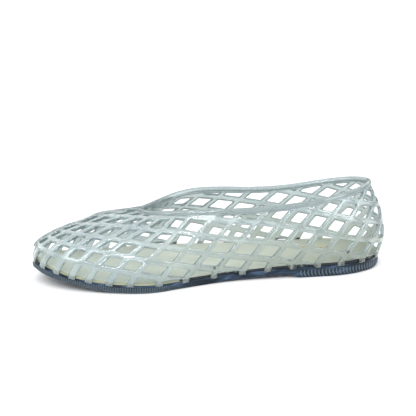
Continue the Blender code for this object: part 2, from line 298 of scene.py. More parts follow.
def noise(tree, place, scale, detail):
    """Noise in object coordinates, scale being its cells per metre."""
    inputs = {"Vector": place, "Scale": scale, "Detail": detail}
    return add_node(tree, "ShaderNodeTexNoise", inputs).outputs["Fac"]


def ramp(tree, source, stops):
    """Colour ramp over a value, stops being positions and colours."""
    node = add_node(tree, "ShaderNodeValToRGB", {"Fac": source})
    elements = node.color_ramp.elements
    for element, (position, colour) in zip(elements, (stops[0], stops[-1])):
        element.position = position
        element.color = colour
    for position, colour in stops[1:-1]:
        elements.new(position).color = colour
    return node.outputs["Color"]


def span(tree, source, low, high):
    """Value stretched from the middle part of a noise to low and high."""
    inputs = {"Value": source, "From Min": NOISE_LOW, "From Max": NOISE_HIGH, "To Min": low, "To Max": high}
    return add_node(tree, "ShaderNodeMapRange", inputs).outputs["Result"]


def bump(tree, source, shader, strength, depth):
    """Bump of that depth in millimetres on the shader's normal."""
    inputs = {"Height": source, "Strength": strength, "Distance": depth * MM}
    tree.links.new(add_node(tree, "ShaderNodeBump", inputs).outputs["Normal"], shader.inputs["Normal"])


def marked(tree, name):
    """Value of a mesh attribute."""
    return add_node(tree, "ShaderNodeAttribute", attribute_name=name).outputs["Fac"]


def mixed(tree, share, first, second):
    """Colour that goes from the first to the second as the share goes from nothing to one."""
    return add_node(tree, "ShaderNodeMix", {0: share, 6: first, 7: second}, data_type="RGBA").outputs[2]


sole_plastic, tree, shader, place = new_material("sole_plastic", {
    "IOR": 1.5,
    "Specular IOR Level": 0.22,
    "Specular Tint": (0.75, 0.88, 1.0, 1.0),
    "Coat Weight": 0.12,
    "Coat Roughness": 0.05,
})
# The base colour runs in streaks from the plastic's own dark and blue tones to a painted sheen, which paints
# reflections into the sole.
stretched = add_node(tree, "ShaderNodeMapping", {"Vector": place, "Scale": SHEEN_STREAKS_PER_METRE})
sheen_streaks = add_node(tree, "ShaderNodeTexNoise", {
    "Vector": stretched.outputs["Vector"], "Scale": 1.0, "Detail": 4.0, "Distortion": 0.6})
blue_and_painted_sheen = ramp(tree, sheen_streaks.outputs["Fac"], [(0.42, SOLE_DARK), (0.57, SOLE_BLUE), (0.74, SOLE_PAINTED_SHEEN)])
# the beads and ribs get a lighter painted highlight colour
sole_colour = mixed(tree, marked(tree, "raised"), blue_and_painted_sheen, SOLE_RAISED_HIGHLIGHT)
sole_gloss = span(tree, noise(tree, place, scale=160.0, detail=3.0), low=0.10, high=0.30)
tree.links.new(sole_colour, shader.inputs["Base Color"])
tree.links.new(sole_gloss, shader.inputs["Roughness"])
bump(tree, noise(tree, place, scale=150.0, detail=4.0), shader, strength=0.6, depth=1.2)

sole_layers = [(shifted(lip, -MIDDLE_INSET), underside)]
sole_layers += [(shifted(lip, -inset), shifted(underside, rise)) for inset, rise in LOWER_EDGE]
sole_layers += [(shifted(lip, -inset), shifted(below_tabs, -drop)) for inset, drop in LEDGE_EDGE]
sole_layers += [(reach, below_tabs)]
sole_layers += [(shifted(reach, -inset), shifted(sole_top, -drop)) for inset, drop in TOP_EDGE]
sole_layers += [(shifted(reach, -MIDDLE_INSET), sole_top)]
outsole = add_piece("outsole_moulding", layered_sole(sole_layers, SOLE_STEPS), sole_plastic)
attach(outsole, "root")
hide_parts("outsole")

# Forefoot edge: rows of small beads on the sole's edge from the waist round the toe, moulded in one with it.
# They are the same dark plastic, painted lighter and bluer as a painted highlight, so that they read as a
# fine knurl.
# They shrink away towards the waist.
BEAD_RADIUS = 0.68
BEAD_PITCH = 1.6
BEAD_HIGHLIGHT_SHARE = 0.75
BEAD_END_BACK = 112.0
BEAD_FADE = 30.0
BEAD_ROWS = (0.05, 0.40, 0.76)
EDGE_STEPS = 900

# share of the rounding of the sole's lower edge that lies below the rows
ROWS_START = 0.6


def edge_path(name, rows, stagger, first, last, fade, round_toe):
    """Lines along the sole's edge at shares of its height, each second one started later by the stagger."""
    inner, inner_out = side_line(0, EDGE_STEPS)
    outer, outer_out = side_line(1, EDGE_STEPS)
    if round_toe:
        points = np.vstack([outer[:0:-1], inner])
        outward = np.vstack([outer_out[:0:-1], inner_out])
    else:
        points = np.vstack([inner, outer[-2::-1]])
        outward = np.vstack([inner_out, outer_out[-2::-1]])
    chosen = (points[:, 0] >= first) & (points[:, 0] <= last)
    points = points[chosen]
    outward = outward[chosen]
    points = points + outward * lip(points[:, 0])[:, None]
    low = underside(points[:, 0]) + SOLE_EDGE_ROUND * ROWS_START
    high = below_tabs(points[:, 0])
    travel = np.concatenate([[0.0], np.cumsum(np.linalg.norm(np.diff(points, axis=0), axis=1))])
    fading = np.clip((last - points[:, 0]) / fade, 0, 1) if fade else np.ones(len(points))
    vertices = []
    edges = []
    directions = []
    sizes = []
    for number, share in enumerate(rows):
        kept = travel >= stagger * (number % 2)
        start = len(vertices)
        vertices.extend(in_frame(np.column_stack([points, low + (high - low) * share])[kept]))
        edges.extend((k, k + 1) for k in range(start, len(vertices) - 1))
        directions.extend((x, y, 0.0) for x, y in outward[kept])
        sizes.extend(fading[kept])
    mesh = bpy.data.meshes.new(name)
    mesh.from_pydata([tuple(v) for v in vertices], edges, [])
    outward_layer = mesh.attributes.new("outward", "FLOAT_VECTOR", "POINT")
    outward_layer.data.foreach_set("vector", np.ravel(directions))
    size_layer = mesh.attributes.new("size", "FLOAT", "POINT")
    size_layer.data.foreach_set("value", sizes)
    return add_object(name, mesh)


def new_tree(name, sizes):
    """Geometry Nodes tree with a geometry, named sizes and a material as inputs, and a geometry as output."""
    tree = bpy.data.node_groups.new(name, "GeometryNodeTree")
    tree.interface.new_socket("Geometry", in_out="INPUT", socket_type="NodeSocketGeometry")
    for size in sizes:
        tree.interface.new_socket(size, in_out="INPUT", socket_type="NodeSocketFloat")
    tree.interface.new_socket("Material", in_out="INPUT", socket_type="NodeSocketMaterial")
    tree.interface.new_socket("Geometry", in_out="OUTPUT", socket_type="NodeSocketGeometry")
    return tree, tree.nodes.new("NodeGroupInput").outputs, tree.nodes.new("NodeGroupOutput")


def finish_tree(tree, given, result, geometry):
    """Ends a tree in Realize Instances, smooth shading and Set Material."""
    realize = add_node(tree, "GeometryNodeRealizeInstances", {"Geometry": geometry})
    shade = add_node(tree, "GeometryNodeSetShadeSmooth", {"Geometry": realize.outputs["Geometry"]})
    paint = add_node(tree, "GeometryNodeSetMaterial", {
        "Geometry": shade.outputs["Geometry"], "Material": given["Material"]})
    tree.links.new(paint.outputs["Geometry"], result.inputs["Geometry"])


def field(tree, name, kind):
    """Named attribute of the geometry as a field."""
    node = add_node(tree, "GeometryNodeInputNamedAttribute", {"Name": name}, data_type=kind)
    return node.outputs["Attribute"]


def stored(tree, geometry, name, value, kind):
    """The geometry with a value kept at its points under a name."""
    inputs = {"Geometry": geometry, "Name": name, "Value": value}
    node = add_node(tree, "GeometryNodeStoreNamedAttribute", inputs, data_type=kind, domain="POINT")
    return node.outputs["Geometry"]


def steps_along(tree, mesh, step):
    """Lines of loose edges as curves with points at even steps."""
    line = add_node(tree, "GeometryNodeMeshToCurve", {"Mesh": mesh})
    inputs = {"Curve": line.outputs["Curve"], "Length": step}
    return add_node(tree, "GeometryNodeResampleCurve", inputs, mode="LENGTH").outputs["Curve"]


def run_tree(thing, tree, values):
    """Runs a tree on an object with its named inputs and keeps the result as the object's plain mesh."""
    modifier = thing.modifiers.new(tree.name, "NODES")
    modifier.node_group = tree
    for socket in tree.interface.items_tree:
        if socket.in_out == "INPUT" and socket.name in values:
            modifier[socket.identifier] = values[socket.name]
    depsgraph = bpy.context.evaluated_depsgraph_get()
    mesh = bpy.data.meshes.new_from_object(thing.evaluated_get(depsgraph))
    thing.modifiers.remove(modifier)
    thing.data = mesh


tree, given, result = new_tree("edge_beads", ["Pitch", "Radius"])
bead = add_node(tree, "GeometryNodeMeshUVSphere", {"Segments": 8, "Rings": 5, "Radius": given["Radius"]})
spread = add_node(tree, "GeometryNodeInstanceOnPoints", {
    "Points": steps_along(tree, given["Geometry"], given["Pitch"]),
    "Instance": stored(tree, bead.outputs["Mesh"], "raised", BEAD_HIGHLIGHT_SHARE, "FLOAT"),
    "Scale": field(tree, "size", "FLOAT"),
})
finish_tree(tree, given, result, spread.outputs["Instances"])

forefoot_edge = edge_path(
    "forefoot_edge_beads", BEAD_ROWS, stagger=BEAD_PITCH / 2, first=0.0, last=BEAD_END_BACK, fade=BEAD_FADE,
    round_toe=True)
run_tree(forefoot_edge, tree, {
    "Pitch": BEAD_PITCH * MM,
    "Radius": BEAD_RADIUS * MM,
    "Material": sole_plastic,
})
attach(forefoot_edge, "root")

# Heel edge: upright crescent ribs round the low heel, below a smooth band, moulded in one with the sole.
# Each is thickest in the middle, bends back and leans a little.
RIB_PITCH = 2.5
RIB_THICKNESS = 1.05
# share of the lighter painted highlight colour on each rib
RIB_HIGHLIGHT_SHARE = 1.0
RIB_HEIGHT = 5.2
RIB_BEND = 0.9
RIB_LEAN = 14.0
RIB_FIRST_BACK = 178.0
RIB_ROWS = (0.46,)

# share of a half turn that a rib's thickness follows from end to end, less than one for blunt ends
RIB_SWELL = 0.9


def calc(tree, operation, *values):
    """Result of one Math node."""
    return add_node(tree, "ShaderNodeMath", dict(enumerate(values)), operation=operation).outputs["Value"]


def vector(tree, axis, value):
    """Vector along one axis."""
    return add_node(tree, "ShaderNodeCombineXYZ", {axis: value}).outputs["Vector"]


tree, given, result = new_tree("edge_ribs", ["Pitch", "Thickness", "Height", "Bend", "Lean"])
crescent = add_node(tree, "GeometryNodeCurveQuadraticBezier", {
    "Resolution": 8,
    "Start": vector(tree, "Z", calc(tree, "MULTIPLY", given["Height"], -0.5)),
    "Middle": vector(tree, "X", calc(tree, "MULTIPLY", given["Bend"], 2.0)),
    "End": vector(tree, "Z", calc(tree, "MULTIPLY", given["Height"], 0.5)),
})
along = add_node(tree, "GeometryNodeSplineParameter").outputs["Factor"]
half_turn = calc(tree, "MULTIPLY_ADD", along, RIB_SWELL * math.pi, (1 - RIB_SWELL) / 2 * math.pi)
half_thickness = calc(tree, "MULTIPLY", given["Thickness"], 0.5)
ring = add_node(tree, "GeometryNodeCurvePrimitiveCircle", {"Resolution": 8, "Radius": 1.0})
rib = add_node(tree, "GeometryNodeCurveToMesh", {
    "Curve": crescent.outputs["Curve"],
    "Profile Curve": ring.outputs["Curve"],
    "Scale": calc(tree, "MULTIPLY", half_thickness, calc(tree, "SINE", half_turn)),
    "Fill Caps": True,
})
face_out = add_node(tree, "FunctionNodeAlignRotationToVector", {
    "Vector": field(tree, "outward", "FLOAT_VECTOR")}, axis="Y", pivot_axis="Z")
lean = add_node(tree, "FunctionNodeAxisAngleToRotation", {"Axis": (0.0, 1.0, 0.0), "Angle": given["Lean"]})
turned = add_node(tree, "FunctionNodeRotateRotation", {
    "Rotation": face_out.outputs["Rotation"], "Rotate By": lean.outputs["Rotation"]}, rotation_space="LOCAL")
spread = add_node(tree, "GeometryNodeInstanceOnPoints", {
    "Points": steps_along(tree, given["Geometry"], given["Pitch"]),
    "Instance": stored(tree, rib.outputs["Mesh"], "raised", RIB_HIGHLIGHT_SHARE, "FLOAT"),
    "Rotation": turned.outputs["Rotation"],
})
finish_tree(tree, given, result, spread.outputs["Instances"])

heel_edge = edge_path(
    "heel_edge_ribs", RIB_ROWS, stagger=0.0, first=RIB_FIRST_BACK, last=LENGTH, fade=0.0, round_toe=False)
run_tree(heel_edge, tree, {
    "Pitch": RIB_PITCH * MM,
    "Thickness": RIB_THICKNESS * MM,
    "Height": RIB_HEIGHT * MM,
    "Bend": RIB_BEND * MM,
    "Lean": math.radians(RIB_LEAN),
    "Material": sole_plastic,
})
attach(heel_edge, "root")

# Insole: a cream footbed of foamed plastic, cut to the sole's outline and laid on it inside the net.
# Its edge shows as a thin pale line above the sole, and its top through the windows of the net.
# It is painted greyer towards the heel as painted shade, and grime has gathered along the rear part of its
# edge.
CREAM_LIGHT = (0.69, 0.74, 0.66, 1.0)
CREAM_DARK = (0.61, 0.66, 0.58, 1.0)
# grey of the painted shade towards the heel
CREAM_HEEL_SHADE = (0.37, 0.41, 0.34, 1.0)
HEEL_SHADE_BACK = (40.0, 210.0)
EDGE_CREAM = (0.28, 0.30, 0.21, 1.0)
STAIN = (0.50, 0.37, 0.12, 1.0)
SPOT_CORE = 0.4
GRIME = (0.015, 0.020, 0.025, 1.0)
GRIME_START_BACK = 72.0
GRIME_FULL_BACK = 100.0
GRIME_COVER = 0.70
PATCH_BLUR = 0.12

# inset and drop of the insole's rings, from its underside round its edge to its top
INSOLE_RINGS = (
    (MIDDLE_INSET, INSOLE_THICKNESS),
    (0.1, INSOLE_THICKNESS),
    (0.0, INSOLE_THICKNESS - 0.2),
    (0.0, 0.45),
    (0.12, 0.12),
    (0.45, 0.0),
    (1.4, 0.0),
    (MIDDLE_INSET, 0.0),
)
EDGE_RINGS = slice(1, 6)

# back, across, height and radius of the spots that make an amber streak on the footbed
BED_STAIN_SPOTS = (
    (200.0, 8.8, 9.7, 1.5),
    (202.3, 8.7, 9.8, 1.7),
    (204.6, 8.6, 9.8, 1.7),
    (206.9, 8.4, 9.8, 1.6),
    (208.8, 8.3, 9.8, 1.4),
)


def flush(back):
    return np.zeros(len(back))


def grimy(back):
    """Share of the grime, which starts behind the forefoot."""
    return np.clip((back - GRIME_START_BACK) / (GRIME_FULL_BACK - GRIME_START_BACK), 0, 1)


def share_along(tree, place, axis, first, last):
    """Share that grows from nothing at one place back from the toe tip, or up, to one at another."""
    parts = add_node(tree, "ShaderNodeSeparateXYZ", {"Vector": place})
    offset = toe_tip["XYZ".index(axis)]
    return add_node(tree, "ShaderNodeMapRange", {
        "Value": parts.outputs[axis],
        "From Min": (first + offset) * MM,
        "From Max": (last + offset) * MM,
    }).outputs["Result"]


def patches(tree, share, pattern):
    """A share broken into patches, which lie where it and a noise together pass one."""
    return add_node(tree, "ShaderNodeMapRange", {
        "Value": calc(tree, "ADD", share, pattern),
        "From Min": 1.0,
        "From Max": 1.0 + PATCH_BLUR,
    }).outputs["Result"]


def spots(tree, place, marks):
    """Share of a mark at each point, from the marks' places behind the toe tip and their radii."""
    share = 0.0
    for back, across, height, radius in marks:
        centre = tuple(in_frame((back, across, height)))
        away = add_node(tree, "ShaderNodeVectorMath", {0: place, 1: centre}, operation="DISTANCE")
        near = add_node(tree, "ShaderNodeMapRange", {
            "Value": away.outputs["Value"],
            "From Min": SPOT_CORE * radius * MM,
            "From Max": radius * MM,
            "To Min": 1.0,
            "To Max": 0.0,
        })
        share = calc(tree, "MAXIMUM", share, near.outputs["Result"])
    return share


insole_foam, tree, shader, place = new_material("insole_foam", {"IOR": 1.45, "Specular IOR Level": 0.35})
bed_clouds = noise(tree, place, scale=30.0, detail=5.0)
bed_colour = ramp(tree, bed_clouds, [(0.3, CREAM_DARK), (0.65, CREAM_LIGHT)])
# painted shade: the footbed is painted greyer towards the heel
bed_colour = mixed(tree, share_along(tree, place, "X", *HEEL_SHADE_BACK), bed_colour, CREAM_HEEL_SHADE)
bed_colour = mixed(tree, marked(tree, "edge"), bed_colour, EDGE_CREAM)
bed_colour = mixed(tree, spots(tree, place, BED_STAIN_SPOTS), bed_colour, STAIN)
bed_grime = patches(tree, marked(tree, "grime"), noise(tree, place, scale=170.0, detail=4.0))
bed_colour = mixed(tree, bed_grime, bed_colour, GRIME)
bed_gloss = span(tree, noise(tree, place, scale=90.0, detail=2.0), low=0.5, high=0.7)
tree.links.new(bed_colour, shader.inputs["Base Color"])
tree.links.new(bed_gloss, shader.inputs["Roughness"])
bump(tree, noise(tree, place, scale=1400.0, detail=2.0), shader, strength=0.3, depth=0.2)

insole_layers = [(shifted(flush, -inset), shifted(feather, -drop)) for inset, drop in INSOLE_RINGS]
insole = add_piece("insole_footbed", layered_sole(insole_layers, SOLE_STEPS), insole_foam)
on_edge = np.zeros((len(INSOLE_RINGS), 2 * SOLE_STEPS))
on_edge[EDGE_RINGS] = 1.0
behind_toe = np.array([v.co.x for v in insole.data.vertices]) / MM - toe_tip[0]
grime_on_edge = on_edge.ravel() * GRIME_COVER * grimy(behind_toe)
insole.data.attributes.new("edge", "FLOAT", "POINT").data.foreach_set("value", on_edge.ravel())
insole.data.attributes.new("grime", "FLOAT", "POINT").data.foreach_set("value", grime_on_edge)
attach(insole, "root")
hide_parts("insole")

# Upper: one moulding of clear, faintly milky soft plastic. Spokes rise from the sole and lean to the heel,
# rows run round the foot and fall to the heel, and the windows between are open. A round bead edges the
# collar, and the spokes end below in thin tabs that are bonded over the edge of the insole and sole.
THROAT_BACK = 69.0
COLLAR_END_BACK = 233.0
THROAT_RADIUS = 7.5
COLLAR_END_RADIUS = 12.0
WALL = 2.6
TAB_WALL = 1.3
WALL_GROWTH = 4.0
WALL_FULLNESS = 1.02
TOE_FULLNESS = 0.2
COLLAR_BEAD_RADIUS = 2.0
COLLAR_BEAD_PROUD = 0.5
COLLAR_BEAD_STEP = 1.2
COLLAR_BAND = 1.2
COLLAR_OPENING_RISE = 40.0
SPOKE_WIDTH = 5.0
SPOKE_LEAN = 0.57
SPOKE_BEND = 0.0074
ROW_WIDTH = 4.4
ROW_HEIGHTS = (12.4, 23.6, 35.2, 48.0, 61.0, 74.6, 87.5, 100.0, 112.5, 125.0)
ROW_SQUEEZE = 0.06
ROW_SQUEEZE_END = 110.0
ROW_SQUEEZE_RUN = 50.0
ROW_FALL = 0.26
ROW_FALL_START = 63.0
ROW_FALL_BLEND = 50.0
RIB_SHOULDER = 0.8
RIB_BEVEL = 0.55
WINDOW_CORNER = 0.8
NET_BELOW_SOLE = 60.0
SPOKES_BEFORE_TOE = 6
SPOKES = 18
STATIONS = 480
SECTION_POINTS = 60
FINER = 4
NET_PASSES = 16
HALVINGS = 30
TINY = 1e-6
TOUCHING = 1e-3
SETTLE = 0.15
CORNER_WELD = 0.1
SLIVER = 0.02
FACE_WELD = 0.002
INNER_SIDE_ACROSS = -20.0
CLEAR_LIGHT = (0.62, 0.70, 0.69, 1.0)
CLEAR_DARK = (0.46, 0.55, 0.58, 1.0)
# darker, greener colour painted low on the wall and towards the heel, a painted tint of the cream insole seen
# through the plastic
CLEAR_SEE_THROUGH_TINT = (0.42, 0.48, 0.43, 1.0)
SEE_THROUGH_BACK = (50.0, 170.0)
SEE_THROUGH_HEIGHT = (46.0, 16.0)
# painted shade on the windows' edges and walls, standing in for the dark lines that refraction draws there
WINDOW_EDGE_SHADE = (0.34, 0.43, 0.44, 1.0)
# grey of the collar bead, a painted shade that sets the round bead off from the net
COLLAR_BEAD_SHADE = (0.38, 0.46, 0.47, 1.0)
FOOT_GRIME_RISE = 6.0
FOOT_GRIME_COVER = 0.55

# back, across, height and radius of dirt specks and of an amber stain on the inner side
DIRT_SPOTS = (
    (0.4, -6.9, 25.5, 1.1),
    (3.8, -8.1, 27.8, 0.9),
    (8.4, -16.7, 26.7, 0.8),
    (93.0, -34.5, 32.3, 1.4),
    (116.7, -33.6, 12.6, 1.6),
    (168.7, -30.6, 14.3, 1.8),
    (209.4, -30.2, 17.6, 1.6),
)
STAIN_SPOTS = (
    (176.6, -31.6, 25.4, 1.5),
    (177.4, -31.6, 24.2, 1.7),
)

# back along the insole edge, back along the ridge or collar above it
TOP_ROWS = np.array([
    (0.0, 12.0),
    (12.0, 20.0),
    (25.0, 31.5),
    (40.0, 46.0),
    (55.0, 62.0),
    (63.0, 69.5),
    (72.0, 75.0),
    (82.0, 83.0),
    (96.0, 96.0),
    (130.0, 130.0),
    (180.0, 180.0),
    (206.0, 204.5),
    (223.0, 219.0),
    (234.0, 228.5),
    (240.0, 233.0),
])

# back, height of the ridge over the toes
RIDGE_ROWS = np.array([
    (12.0, 33.0),
    (20.0, 36.1),
    (30.0, 39.1),
    (37.0, 41.2),
    (43.0, 43.5),
    (52.0, 44.9),
    (60.0, 45.5),
    (69.0, 45.8),
])

# back, half width of the collar, inner height, outer height, rise of the wall at the collar in degrees
COLLAR_ROWS = np.array([
    (69.0, 0.0, 45.8, 45.8, 0.0),
    (76.0, 10.6, 45.3, 45.5, 12.0),
    (85.0, 16.4, 45.8, 46.8, 24.0),
    (98.0, 22.3, 47.1, 49.2, 40.0),
    (112.0, 25.8, 47.8, 50.4, 54.0),
    (130.0, 27.8, 47.9, 49.8, 66.0),
    (155.0, 28.2, 48.6, 48.3, 74.0),
    (180.0, 27.2, 50.3, 49.2, 74.0),
    (205.0, 23.8, 53.8, 52.9, 71.0),
    (220.0, 17.6, 56.2, 55.9, 66.0),
    (233.0, 0.0, 58.3, 58.3, 60.0),
])

# back, outward lean of the wall at the sole in degrees
LEAN_ROWS = np.array([
    (0.0, 12.0),
    (25.0, 20.0),
    (60.0, 18.0),
    (95.0, 22.0),
    (125.0, 24.0),
    (155.0, 18.0),
    (200.0, 16.0),
    (240.0, 19.0),
])

# distance round the insole edge from the toe tip, number of the net's spoke that stands there
SPOKE_ROWS = np.array([
    (-12.0, -1.5),
    (4.5, 0.0),
    (15.7, 1.0),
    (50.0, 4.0),
    (77.2, 6.0),
    (115.0, 8.0),
    (155.5, 10.0),
    (190.6, 12.0),
    (224.3, 14.0),
    (257.7, 16.0),
    (306.0, 18.0),
])


def wall_grid(side, top_back=None):
    """Outer surface of one side of the upper: rows of points from the sole edge to the ridge or collar."""
    fine, outward = side_line(side, FINER * STATIONS)
    travel = np.concatenate([[0.0], np.cumsum(np.linalg.norm(np.diff(fine, axis=0), axis=1))])
    even = np.linspace(0, travel[-1], STATIONS + 1)
    plan = np.column_stack([np.interp(even, travel, fine[:, k]) for k in (0, 1)])
    out = np.column_stack([np.interp(even, travel, outward[:, k]) for k in (0, 1)])
    out /= np.linalg.norm(out, axis=1)[:, None]
    back = plan[:, 0]
    sign = -1.0 if side == 0 else 1.0

    beyond = FIT_GAP + TAB_WALL + reach(back)
    low = np.column_stack([plan + out * beyond[:, None], feather(back)])
    if top_back is None:
        top_back = smooth(TOP_ROWS, 1, back)
    on_ridge = top_back <= THROAT_BACK
    width = rounded(
        COLLAR_ROWS, 1, np.clip(top_back, THROAT_BACK, COLLAR_END_BACK), THROAT_BACK, COLLAR_END_BACK,
        THROAT_RADIUS, COLLAR_END_RADIUS)
    height = np.where(on_ridge, smooth(RIDGE_ROWS, 1, top_back), smooth(COLLAR_ROWS, 2 + side, top_back))
    high = np.column_stack([top_back, sign * np.where(on_ridge, 0.0, width), height])

    lean = np.radians(smooth(LEAN_ROWS, 1, back))[:, None]
    up = np.array([0.0, 0.0, 1.0])
    flat_out = np.column_stack([out, np.zeros(len(out))])
    start = flat_out * np.sin(lean) + up * np.cos(lean)
    ridge_slope = np.gradient(height, top_back) * on_ridge
    over = np.column_stack([-out[:, 0], -out[:, 1], -out[:, 0] * ridge_slope])
    rise = np.radians(np.where(on_ridge, 0.0, smooth(COLLAR_ROWS, 4, top_back)))[:, None]
    end = over * np.cos(rise) + up * np.sin(rise)

    chord = np.linalg.norm(high - low, axis=1)[:, None]
    pull = chord * (WALL_FULLNESS + TOE_FULLNESS * np.cos(rise))
    t = np.linspace(0, 1, FINER * SECTION_POINTS)[:, None, None]
    curve = ((2 * t**3 - 3 * t**2 + 1) * low + (t**3 - 2 * t**2 + t) * pull * start
             + (3 * t**2 - 2 * t**3) * high + (t**3 - t**2) * pull * end)
    steps = np.linalg.norm(np.diff(curve, axis=0), axis=2)
    length = np.vstack([np.zeros(len(back)), np.cumsum(steps, axis=0)])
    share = np.linspace(0, 1, SECTION_POINTS + 1)
    grid = np.empty((STATIONS + 1, SECTION_POINTS + 1, 3))
    for k in range(STATIONS + 1):
        for axis in range(3):
            grid[k, :, axis] = np.interp(share * length[-1, k], length[:, k], curve[:, k, axis])
    return grid, length[-1], travel[-1], top_back


inner_grid, inner_girth, round_length, collar_back = wall_grid(0)
outer_grid, outer_girth, _, _ = wall_grid(1, collar_back)
wall_grids = (inner_grid, outer_grid)
girth = (inner_girth + outer_girth) / 2
station_at = np.linspace(0, round_length, STATIONS + 1)
throat_station = int(np.nonzero(collar_back <= THROAT_BACK)[0][-1])
throat_at = float(station_at[throat_station])
collar_line = inner_grid[throat_station:, -1]


def wall_point(side, around, rise):
    """Point of the upper's outer surface, rise being the girth above the sole edge."""
    grid = wall_grids[side]
    share = rise / np.interp(around, station_at, girth)
    column = np.clip(around / round_length * STATIONS, 0, STATIONS - TINY)
    row = np.clip(share * SECTION_POINTS, 0, SECTION_POINTS - TINY)
    i = int(column)
    j = int(row)
    u = column - i
    v = row - j
    point = ((grid[i, j] * (1 - u) + grid[i + 1, j] * u) * (1 - v)
             + (grid[i, j + 1] * (1 - u) + grid[i + 1, j + 1] * u) * v)
    return point + np.array([0.0, 0.0, min(rise, 0.0)])


def share_of(part, whole):
    """Part of a whole, kept between nothing and one."""
    return min(max(part / whole, 0.0), 1.0)


def row_fall(around):
    """How far a row of the net has come down toward the sole on its way to the heel."""
    run = around - ROW_FALL_START
    blend = min(max(run / ROW_FALL_BLEND + 0.5, 0.0), 1.0)
    return ROW_FALL * max(run, blend**2 * ROW_FALL_BLEND / 2)


def row_squeeze(around):
    """Closer spacing of the rows over the toes."""
    return 1 - ROW_SQUEEZE * share_of(ROW_SQUEEZE_END - around, ROW_SQUEEZE_RUN)


def net_to_wall(foot, row):
    """Place on the wall of a net point, from the foot of its spoke and the height of its row at the toe."""
    rise = row
    for _ in range(NET_PASSES):
        up = max(rise, 0.0)
        around = foot + SPOKE_LEAN * up + SPOKE_BEND * up**2
        rise = row * row_squeeze(around) - row_fall(around)
    return around, rise


def inside_toe(around, rise):
    return around


def inside_heel(around, rise):
    return round_length - around


def inside_top(around, rise):
    return float(np.interp(around, station_at, girth)) - rise


def inside_tab(around, rise):
    return rise + TAB_DROP


def before_throat(around, rise):
    return throat_at - around


def behind_throat(around, rise):
    return around - throat_at


def above_sole(around, rise):
    return rise


def below_sole(around, rise):
    return -rise


def off_collar(around, rise):
    point = wall_point(0, around, rise)
    return float(np.sqrt(((collar_line - point) ** 2).sum(axis=1).min())) - COLLAR_BAND


def on_collar(around, rise):
    return -off_collar(around, rise)


def clip(polygon, rule):
    """Part of a convex net polygon where the rule is not negative."""
    values = [rule(*net_to_wall(*point)) for point in polygon]
    if min(values) >= 0:
        return polygon
    if max(values) < 0:
        return []
    kept = []
    for k, here in enumerate(polygon):
        there = polygon[(k + 1) % len(polygon)]
        value_here = values[k]
        value_there = values[(k + 1) % len(polygon)]
        if value_here >= 0:
            kept.append(here)
        if (value_here >= 0) == (value_there >= 0):
            continue
        good, bad = (here, there) if value_here >= 0 else (there, here)
        for _ in range(HALVINGS):
            middle = ((good[0] + bad[0]) / 2, (good[1] + bad[1]) / 2)
            if rule(*net_to_wall(*middle)) >= 0:
                good = middle
            else:
                bad = middle
        kept.append(good)
    return kept


def settle(around, rise):
    """Moves a net point that all but touches an edge of the wall onto that edge."""
    if around < SETTLE:
        around = 0.0
    if around > round_length - SETTLE:
        around = round_length
    if abs(rise) < SETTLE:
        rise = 0.0
    if inside_top(around, rise) < SETTLE:
        rise = float(np.interp(around, station_at, girth))
    return around, rise


def rib_lines(middles, width):
    """Lines along ribs and down the middle of the windows between, each with whether a rib follows it."""
    half = width / 2
    lines = []
    for middle, following in zip(middles[:-1], middles[1:]):
        lines.append((middle - half, True))
        lines.append((middle - half * RIB_SHOULDER, True))
        lines.append((middle + half * RIB_SHOULDER, True))
        lines.append((middle + half, False))
        lines.append((middle + half + WINDOW_CORNER, False))
        lines.append(((middle + following) / 2, False))
        lines.append((following - half - WINDOW_CORNER, False))
    return lines


def net_polygons():
    """Spokes, rows and collar band of the net as small polygons on the wall."""
    numbers = np.arange(-SPOKES_BEFORE_TOE, SPOKES + 1)
    first_gap = (SPOKE_ROWS[1, 0] - SPOKE_ROWS[0, 0]) / (SPOKE_ROWS[1, 1] - SPOKE_ROWS[0, 1])
    feet = np.where(
        numbers < 0,
        SPOKE_ROWS[1, 0] + numbers * first_gap,
        np.interp(numbers, SPOKE_ROWS[:, 1], SPOKE_ROWS[:, 0]))
    spoke_lines = rib_lines(feet, SPOKE_WIDTH)
    row_lines = [(-TAB_DROP - NET_BELOW_SOLE, False)] + rib_lines(ROW_HEIGHTS, ROW_WIDTH)
    kept = []
    for (left, is_spoke), (right, _) in zip(spoke_lines[:-1], spoke_lines[1:]):
        for (bottom, is_row), (top, _) in zip(row_lines[:-1], row_lines[1:]):
            whole = [(left, bottom), (right, bottom), (right, top), (left, top)]
            for end in (before_throat, behind_throat):
                part = whole
                for rule in (end, inside_toe, inside_heel, inside_top, inside_tab):
                    part = clip(part, rule) if part else []
                if not part:
                    continue
                upper_part = clip(part, above_sole)
                if upper_part and (is_spoke or is_row):
                    kept.append(clip(upper_part, off_collar))
                if upper_part:
                    kept.append(clip(upper_part, on_collar))
                if is_spoke:
                    kept.append(clip(part, below_sole))
    return [[settle(*net_to_wall(*point)) for point in polygon] for polygon in kept if len(polygon) > 2]


def collar_path():
    """Middle line of the collar's bead, a closed run of points with the wall's outer edge just below it."""
    lift = math.sqrt(COLLAR_BEAD_RADIUS**2 - (WALL / 2) ** 2)
    edges = []
    normals = []
    for grid, order in ((inner_grid, 1), (outer_grid, -1)):
        ahead = np.gradient(grid[:, -3], axis=0)
        upward = grid[:, -1] - grid[:, -4]
        normal = np.cross(ahead, upward) * order
        normal /= np.linalg.norm(normal, axis=1)[:, None]
        edges.append(grid[throat_station:, -1])
        normals.append(normal[throat_station:])
    edge = np.vstack([edges[0], edges[1][-2:0:-1]])
    normal = np.vstack([normals[0], normals[1][-2:0:-1]])
    along = np.roll(edge, -1, axis=0) - np.roll(edge, 1, axis=0)
    along /= np.linalg.norm(along, axis=1)[:, None]
    off_edge = np.cross(normal, along)
    off_edge /= np.linalg.norm(off_edge, axis=1)[:, None]
    opening = edge.mean(axis=0) + np.array([0.0, 0.0, COLLAR_OPENING_RISE])
    away = np.einsum("ij,ij->i", off_edge, opening - edge)
    off_edge *= np.sign(away)[:, None]
    return edge - normal * (WALL / 2 - COLLAR_BEAD_PROUD) + off_edge * lift


